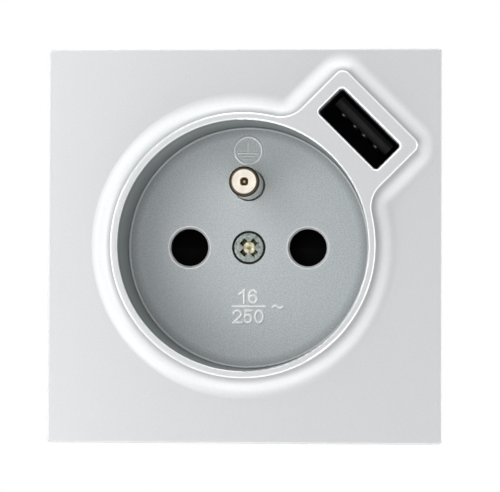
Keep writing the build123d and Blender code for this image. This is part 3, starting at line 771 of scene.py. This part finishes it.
# the rating over and under its bar, and the mains wave, in mm from the axis of the well
ratingMarks = dict(
    digits=[  # left, right, bottom and top of each digit's strokes
        ("1", (-1.48, -0.26, -8.84, -6.85)),
        ("6", (0.04, 1.41, -8.84, -6.85)),
        ("2", (-2.46, -1.10, -12.02, -10.10)),
        ("5", (-0.70, 0.56, -12.02, -10.10)),
        ("0", (1.02, 2.38, -12.02, -10.10)),
    ],
    bar=((-2.48, -9.43), (2.70, -9.43)),
    waveLeft=3.95,
    waveRight=5.45,
    waveMiddle=-9.50,
    waveSwing=0.20,
    wavePoints=40,
)
earthSign = dict(
    centre=(-0.12, 15.55),
    radius=2.17,
    ringPoints=90,
    stemTop=1.25,  # mm above the centre
    firstBar=-0.42,
    barStep=0.46,
    barHalves=(1.55, 1.05, 0.6),
)


def placeStroke(stroke, box):
    # stretched to the box's width and height and moved to its lower left corner
    left, right, bottom, top = box
    return stroke * [right - left, top - bottom] + [left, bottom]


def resample(points, v):
    # the same path with points at even steps along it
    run = np.concatenate([[0], np.cumsum(np.hypot(*np.diff(points, axis=0).T))])
    count = max(v["fewestSteps"], int(run[-1] / v["sampleStep"]))
    along = np.linspace(0, run[-1], count + 1)
    return np.stack([np.interp(along, run, points[:, 0]), np.interp(along, run, points[:, 1])], axis=1)


def raisedStroke(points, width, v):
    # a low rounded bead carried along a path: shares of the half width across and of the height up,
    # with round ends where the path is open: half width times sine onwards, times cosine across
    closed = np.hypot(*(points[0] - points[-1])) < v["closedGap"]
    path = resample(points, v)
    endTurn = np.radians(v["endDeg"])
    if closed:
        path = path[:-1]
    else:
        onwards = (path[-1] - path[-2]) / np.hypot(*(path[-1] - path[-2]))
        backwards = (path[0] - path[1]) / np.hypot(*(path[0] - path[1]))
        reach = width / 2 * np.sin(endTurn)[:, None]
        path = np.concatenate([(path[0] + reach * backwards)[::-1], path, path[-1] + reach * onwards])
    ahead = np.roll(path, -1, axis=0) - np.roll(path, 1, axis=0)
    share = np.ones(len(path))
    if not closed:
        ahead[0], ahead[-1] = path[1] - path[0], path[-1] - path[-2]
        taper = np.cos(endTurn)
        share[:len(taper)], share[-len(taper):] = taper[::-1], taper
    ahead /= np.hypot(*ahead.T)[:, None]
    side = np.stack([-ahead[:, 1], ahead[:, 0]], axis=1)
    across = np.array(v["beadAcross"]) * width / 2
    rise = np.array(v["beadRise"]) * (v["height"] + v["sunk"]) - v["sunk"]
    flat = path[:, None, :] + side[:, None, :] * (across[None, :] * share[:, None])[:, :, None]
    up = np.broadcast_to(rise[None, :], flat.shape[:2])
    bead = np.stack([flat[:, :, 0] * mm, floorY - up * mm, flat[:, :, 1] * mm], axis=-1)
    quads = gridFaces(len(path), len(across), closedRows=closed, closedColumns=True)
    firstEnd = np.arange(len(across))
    lastEnd = firstEnd + (len(path) - 1) * len(across)
    caps = np.stack([firstEnd[::-1], lastEnd])[:0 if closed else 2]
    return bead.reshape(-1, 3), quads, caps


def joinStrokes(name, strokes, v):
    points, faces, offset = [], [], 0
    for stroke, width in strokes:
        bead, quads, caps = raisedStroke(stroke, width, v)
        points.append(bead)
        faces += (quads + offset).tolist() + (caps + offset).tolist()
        offset += len(bead)
    piece = addPiece(name, np.concatenate(points), faces)
    piece.data.materials.append(markFinish)
    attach(piece, "socket")


def ratingStrokes(r, v):
    strokes = [placeStroke(s, box) for digit, box in r["digits"] for s in digitStrokes[digit]]
    strokes.append(line(*r["bar"]))
    run = np.linspace(0, 1, r["wavePoints"])
    waveX = r["waveLeft"] + (r["waveRight"] - r["waveLeft"]) * run
    waveZ = r["waveMiddle"] + r["waveSwing"] * np.sin(2 * np.pi * run)
    strokes.append(np.stack([waveX, waveZ], axis=1))
    return [(s, v["strokeWidth"]) for s in strokes]


def earthStrokes(e, v):
    centre = np.array(e["centre"])
    ring = arc(centre, (e["radius"], e["radius"]), 0, 360, e["ringPoints"])
    bars = [line(centre + [0, e["stemTop"]], centre + [0, e["firstBar"]])]
    for index, half in enumerate(e["barHalves"]):
        height = e["firstBar"] - index * e["barStep"]
        bars.append(line(centre + [-half, height], centre + [half, height]))
    return [(ring, v["signWidth"])] + [(bar, v["signBarWidth"]) for bar in bars]


joinStrokes("ratingMarks", ratingStrokes(ratingMarks, markings), markings)
joinStrokes("earthSign", earthStrokes(earthSign, markings), markings)
print("markings raised")


# floor: a pale disc below the socket, fading out towards its edge and lit up a little to the camera
floorDisc = dict(
    drop=300.0,  # mm
    hub=2.0,
    radius=600.0,
    rings=12,
    spokes=64,
    fade=(150.0, 500.0),
    colour=(0.86, 0.86, 0.86),
    roughness=0.7,
    glow=0.3,
    glowColour=(1.0, 1.0, 1.0),
)


def addFloor(v):
    # rings of a disc: radius times cosine and sine of the turn
    radius = np.linspace(v["hub"], v["radius"], v["rings"])[:, None] * mm
    turn = np.linspace(0, 2 * np.pi, v["spokes"], endpoint=False)[None, :]
    height = cadBox[0][2] - v["drop"] * mm
    points = np.stack(np.broadcast_arrays(radius * np.cos(turn), radius * np.sin(turn), height), axis=-1)
    faces = gridFaces(v["rings"], v["spokes"], closedColumns=True).tolist()
    disc = addPiece("floorDisc", points, faces + [list(range(v["spokes"]))], smooth=False)
    material, tree, shader, place = newFinish("paleFloor")
    path = tree.nodes.new("ShaderNodeLightPath")
    wire(tree, shader, {
        "Alpha": addFall(tree, addRadius(tree, place, kept=(1, 1, 0)), v["fade"]),
        "Emission Strength": addShare(tree, path.outputs["Is Camera Ray"], v["glow"]),
    })
    shader.inputs["Base Color"].default_value = (*v["colour"], 1.0)
    shader.inputs["Roughness"].default_value = v["roughness"]
    shader.inputs["Emission Color"].default_value = (*v["glowColour"], 1.0)
    disc.data.materials.append(material)


addFloor(floorDisc)


# world: white to the camera and to reflections, softer as light
surround = dict(white=1.0, light=0.08, colour=(1.0, 1.0, 1.0))


def addSurround(v):
    world = bpy.data.worlds.new("studio")
    bpy.context.scene.world = world
    world.use_nodes = True
    tree = world.node_tree
    tree.nodes.clear()

    def background(strength):
        shade = tree.nodes.new("ShaderNodeBackground")
        shade.inputs["Color"].default_value = (*v["colour"], 1.0)
        shade.inputs["Strength"].default_value = strength
        return shade.outputs["Background"]

    path = tree.nodes.new("ShaderNodeLightPath").outputs
    seen = addMath(tree, "MAXIMUM", path["Is Camera Ray"], path["Is Glossy Ray"])
    seen = addMath(tree, "MAXIMUM", seen, path["Is Transmission Ray"])
    mix = tree.nodes.new("ShaderNodeMixShader")
    tree.links.new(seen, mix.inputs["Fac"])
    tree.links.new(background(v["light"]), mix.inputs[1])
    tree.links.new(background(v["white"]), mix.inputs[2])
    output = tree.nodes.new("ShaderNodeOutputWorld")
    tree.links.new(mix.outputs["Shader"], output.inputs["Surface"])


addSurround(surround)


# soft panels aimed at the middle of the plate: two keys from the left, a ring, strips at the sides
# and four behind; turn is the angle round the view, from the right and upwards, and tilt the angle
# from straight in front, in degrees; distance and sizes are in metres, power in watts
panels = dict(
    keyTopPanel=dict(turn=150, tilt=36, distance=0.33, wide=0.18, high=0.18, power=0.175),
    keyLowPanel=dict(turn=210, tilt=36, distance=0.33, wide=0.18, high=0.18, power=0.194),
    topPanel=dict(turn=90, tilt=46, distance=0.40, wide=0.25, high=0.34, power=0.150),
    leftTopPanel=dict(turn=132, tilt=60, distance=0.40, wide=0.25, high=0.25, power=0.212),
    leftPanel=dict(turn=180, tilt=52, distance=0.30, wide=0.24, high=0.19, power=0.022),
    leftLowPanel=dict(turn=228, tilt=60, distance=0.40, wide=0.25, high=0.25, power=0.100),
    lowPanel=dict(turn=270, tilt=44, distance=0.40, wide=0.25, high=0.36, power=0.134),
    rightLowPanel=dict(turn=307, tilt=54, distance=0.40, wide=0.25, high=0.25, power=0.164),
    rightLowSidePanel=dict(turn=318, tilt=62, distance=0.36, wide=0.16, high=0.16, power=0.070),
    rightPanel=dict(turn=0, tilt=55, distance=0.36, wide=0.16, high=0.30, power=0.040),
    rightTopPanel=dict(turn=50, tilt=58, distance=0.38, wide=0.23, high=0.23, power=0.126),
    rightStrip=dict(turn=0, tilt=72, distance=0.32, wide=0.14, high=0.30, power=0.095),
    lowSidePanel=dict(turn=270, tilt=72, distance=0.32, wide=0.30, high=0.14, power=0.262),
    topStrip=dict(turn=90, tilt=84, distance=0.30, wide=0.30, high=0.10, power=0.262),
    leftStrip=dict(turn=180, tilt=84, distance=0.30, wide=0.10, high=0.30, power=0.200),
    backPanel=dict(turn=110, tilt=150, distance=0.60, wide=0.50, high=0.50, power=2.40),
    rightBackPanel=dict(turn=0, tilt=115, distance=0.45, wide=0.30, high=0.30, power=0.62),
    leftBackPanel=dict(turn=180, tilt=115, distance=0.45, wide=0.30, high=0.30, power=0.38),
    lowBackPanel=dict(turn=270, tilt=120, distance=0.45, wide=0.30, high=0.30, power=0.32),
)


def addPanel(name, v):
    data = bpy.data.lights.new(name, "AREA")
    data.shape = "RECTANGLE"
    data.size = v["wide"]
    data.size_y = v["high"]
    data.energy = v["power"]
    lamp = bpy.data.objects.new(name, data)
    bpy.context.scene.collection.objects.link(lamp)
    turn, tilt = math.radians(v["turn"]), math.radians(v["tilt"])
    aside = math.sin(tilt)
    towards = Vector((aside * math.cos(turn), -math.cos(tilt), aside * math.sin(turn)))
    lamp.location = towards * v["distance"]
    lamp.rotation_mode = "QUATERNION"
    lamp.rotation_quaternion = (-towards).to_track_quat("-Z", "Y")
    lamp.visible_camera = False


for panelName, panel in panels.items():
    addPanel(panelName, panel)
bpy.context.scene.view_settings.view_transform = "Standard"
print("stage lit")
